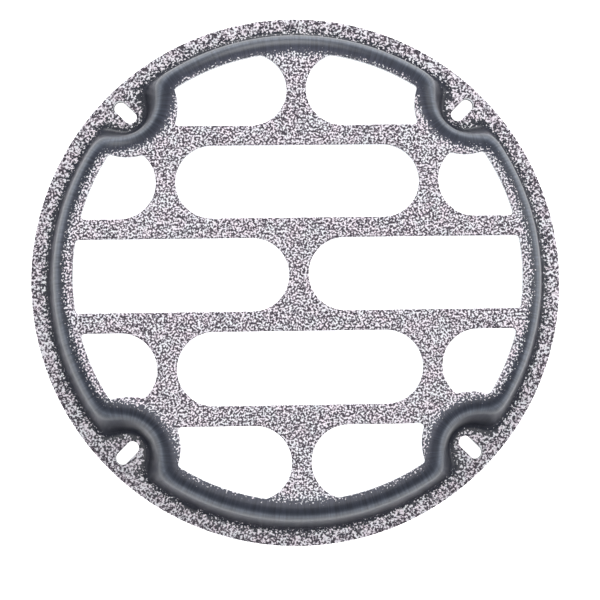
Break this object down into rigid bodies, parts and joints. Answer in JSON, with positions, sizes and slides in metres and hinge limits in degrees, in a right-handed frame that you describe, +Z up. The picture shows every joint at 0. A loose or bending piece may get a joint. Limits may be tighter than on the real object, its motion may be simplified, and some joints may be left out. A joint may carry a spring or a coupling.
{
  "type": "floor drain grate",
  "caption": "Round pressed floor drain grate: raised flat top with a brick pattern of rounded openings, a flat rim with radial screw slots, on a rubber seat ring.",
  "frame": {"origin": "centre of the underside of the seat ring, which is the face that the grate rests on", "axes": "+Z up out of the floor, the bars of the top run along X"},
  "size_m": [0.178, 0.178, 0.0225],
  "materials": {
    "coated_sheet": "coarse black and silver flecks on the flats, smooth dark blue-grey on the drawn walls",
    "seat_rubber": "matt moulded rubber"
  },
  "bodies": {
    "root": {"grate_pressing": "coated_sheet", "seat_ring": "seat_rubber"}
  },
  "joints": []
}
